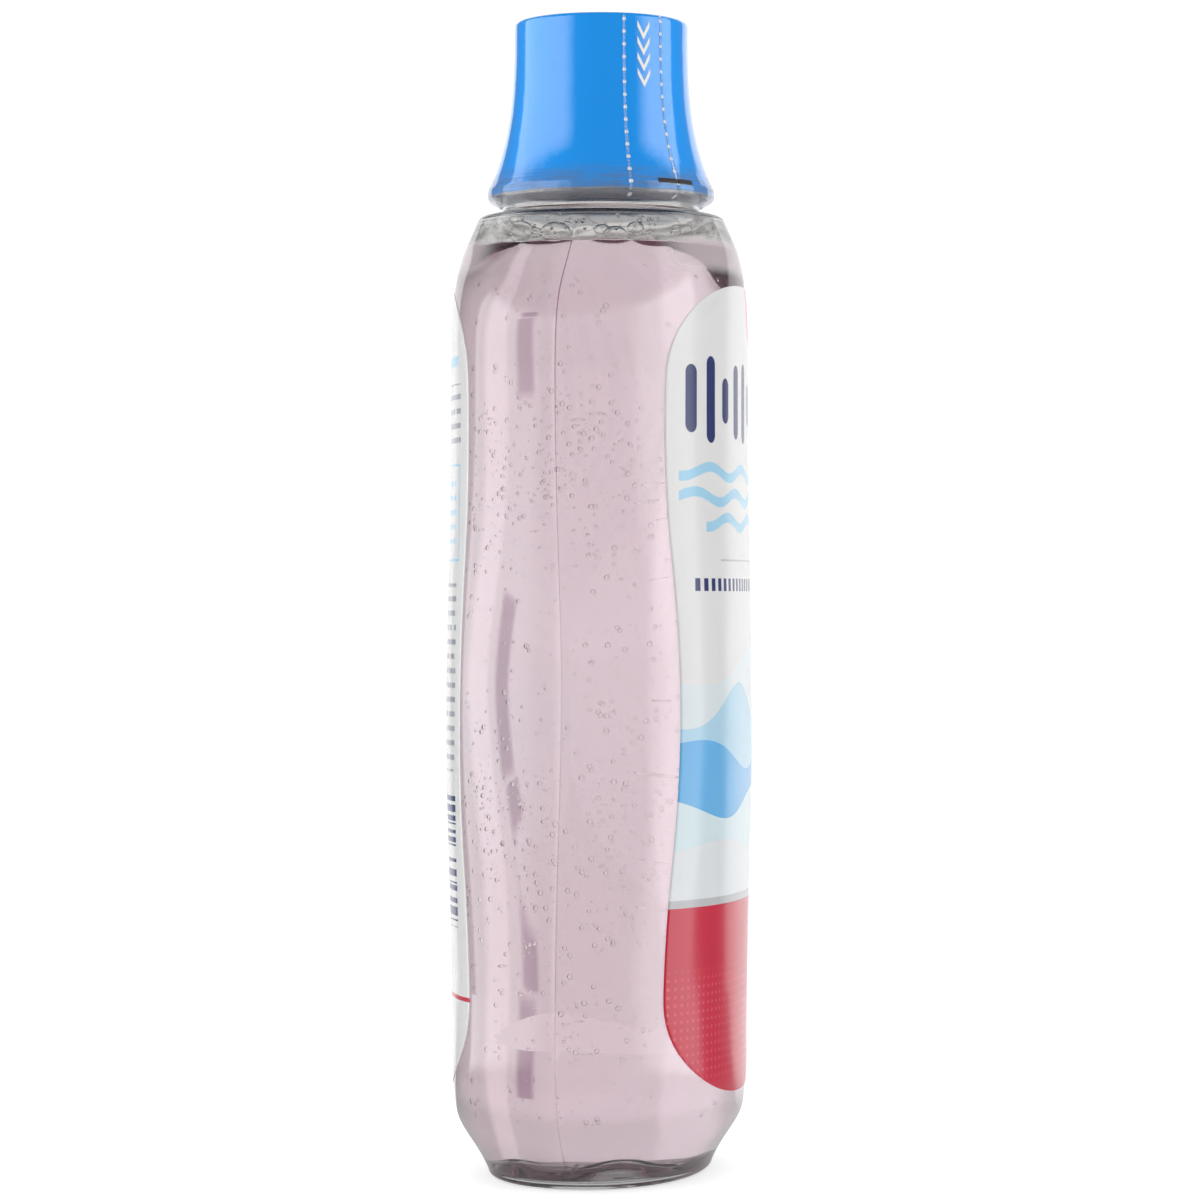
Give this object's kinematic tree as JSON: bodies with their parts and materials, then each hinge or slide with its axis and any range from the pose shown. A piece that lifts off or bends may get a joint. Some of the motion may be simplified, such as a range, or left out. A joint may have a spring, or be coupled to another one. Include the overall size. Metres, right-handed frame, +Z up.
{
  "type": "mouthwash bottle",
  "caption": "Waisted oval bottle of mouthwash, clear plastic, with a flared screw-on dosing cap under a clear shrink sleeve with a tear strip, and a label front and back.",
  "frame": {"origin": "centre of the standing ring under the base", "axes": "+Z up along the cap's screw axis, -Y out of the front label, X across the wide side"},
  "size_m": [0.0784, 0.0546, 0.212],
  "materials": {
    "clear_bottle": "gloss",
    "pink_liquid": "gloss",
    "front_label": "satin",
    "back_label": "satin",
    "blue_cap": "gloss",
    "white_foam": "matte",
    "clear_sleeve": "gloss",
    "clear_strip": "gloss"
  },
  "bodies": {
    "bottle": {"bottle": "clear_bottle", "mouthwash": "pink_liquid", "front_label": "front_label", "back_label": "back_label"},
    "liner": {"cap_liner": "white_foam"},
    "cap": {"dosing_cap": "blue_cap", "neck_sleeve": "clear_sleeve"},
    "strip": {"tear_strip": "clear_strip"}
  },
  "joints": [
    {"name": "cap_lift", "type": "slide", "parent": "bottle", "child": "liner", "axis": [0, 0, 1], "range_m": [0, 0.0318]},
    {"name": "cap_turn", "type": "hinge", "parent": "liner", "child": "cap", "pos_m": [0, 0, 0.1794], "axis": [0, 0, 1], "range_deg": [0, 3600]},
    {"name": "strip_pull", "type": "slide", "parent": "cap", "child": "strip", "axis": [-0.7604, -0.6494, 0], "range_m": [0, 0.04]}
  ],
  "couplings": [
    {"joint": "cap_lift", "follows": "cap_turn", "m_per_rad": 0.00050532}
  ]
}
